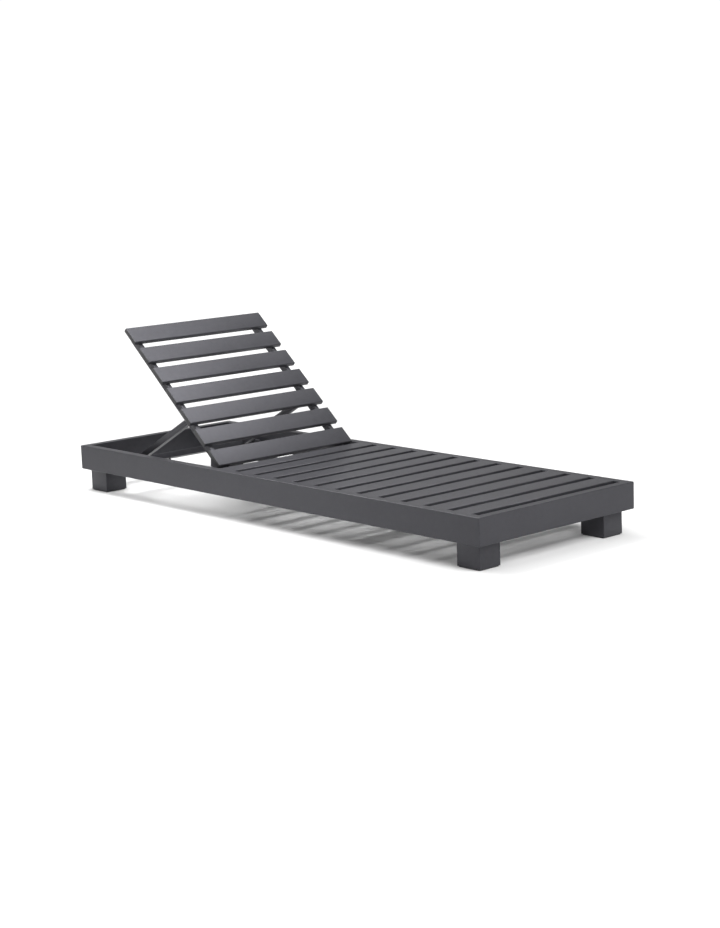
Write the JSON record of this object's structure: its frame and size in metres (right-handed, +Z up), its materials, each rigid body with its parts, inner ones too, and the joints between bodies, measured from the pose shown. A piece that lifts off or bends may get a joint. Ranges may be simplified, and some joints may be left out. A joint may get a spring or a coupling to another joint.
{
  "type": "sun lounger",
  "caption": "Reclining sun lounger: low welded aluminium box frame on block legs, slatted seat, and a slatted backrest raised by a hinged U-shaped prop.",
  "frame": {"origin": "on the floor, at the middle of the frame's plan", "axes": "+Y toward the head end, +X across to the right of someone lying on their back with their head at +Y, +Z up; the stored pose has the backrest raised to 41 degrees"},
  "size_m": [0.68, 2, 0.5975],
  "materials": {
    "powder_coated_aluminium": "matt charcoal powder coat with a fine texture",
    "black_plastic": "matt moulded nylon",
    "black_rubber": "matt rubber",
    "steel_fasteners": "zinc-plated steel"
  },
  "bodies": {
    "frame": {"side_rail_left": "powder_coated_aluminium", "side_rail_right": "powder_coated_aluminium", "head_rail": "powder_coated_aluminium", "foot_rail": "powder_coated_aluminium", "leg_head_left": "powder_coated_aluminium", "leg_head_right": "powder_coated_aluminium", "leg_foot_left": "powder_coated_aluminium", "leg_foot_right": "powder_coated_aluminium", "leg_glides": "black_plastic", "seat_slat_01": "powder_coated_aluminium", "seat_slat_02": "powder_coated_aluminium", "seat_slat_03": "powder_coated_aluminium", "seat_slat_04": "powder_coated_aluminium", "seat_slat_05": "powder_coated_aluminium", "seat_slat_06": "powder_coated_aluminium", "seat_slat_07": "powder_coated_aluminium", "seat_slat_08": "powder_coated_aluminium", "seat_slat_09": "powder_coated_aluminium", "seat_slat_10": "powder_coated_aluminium", "seat_slat_11": "powder_coated_aluminium", "seat_slat_12": "powder_coated_aluminium", "seat_bearer_left": "powder_coated_aluminium", "seat_bearer_right": "powder_coated_aluminium", "seat_spine": "powder_coated_aluminium", "spine_cap": "black_plastic", "rest_buffer": "black_rubber", "hinge_beam": "powder_coated_aluminium", "cross_beam": "powder_coated_aluminium", "hinge_lug_left": "powder_coated_aluminium", "hinge_lug_right": "powder_coated_aluminium", "hinge_bolt_left": "steel_fasteners", "hinge_bolt_right": "steel_fasteners", "rack_left": "powder_coated_aluminium", "rack_right": "powder_coated_aluminium", "rack_screws": "steel_fasteners"},
    "backrest": {"stile_left": "powder_coated_aluminium", "stile_right": "powder_coated_aluminium", "stile_caps": "black_plastic", "hinge_leaf_left": "powder_coated_aluminium", "hinge_leaf_right": "powder_coated_aluminium", "back_slat_1": "powder_coated_aluminium", "back_slat_2": "powder_coated_aluminium", "back_slat_3": "powder_coated_aluminium", "back_slat_4": "powder_coated_aluminium", "back_slat_5": "powder_coated_aluminium", "back_slat_6": "powder_coated_aluminium", "back_slat_7": "powder_coated_aluminium", "back_slat_caps": "black_plastic", "back_slat_screws": "steel_fasteners", "pivot_bolt_left": "steel_fasteners", "pivot_bolt_right": "steel_fasteners", "pivot_washers": "steel_fasteners"},
    "prop": {"prop_arm_left": "powder_coated_aluminium", "prop_arm_right": "powder_coated_aluminium", "prop_crossbar": "powder_coated_aluminium", "prop_pin_left": "black_plastic", "prop_pin_right": "black_plastic", "prop_studs": "black_rubber"}
  },
  "joints": [
    {"name": "backrest_recline", "type": "hinge", "parent": "frame", "child": "backrest", "pos_m": [0, 0.248, 0.1355], "axis": [1, 0, 0], "range_deg": [-41, 22]},
    {"name": "prop_swing", "type": "hinge", "parent": "backrest", "child": "prop", "pos_m": [0, 0.4409, 0.30319], "axis": [1, 0, 0], "range_deg": [-36, 67]}
  ],
  "couplings": [
    {"joint": "prop_swing", "follows": "backrest_recline", "ratio": -1.62}
  ]
}
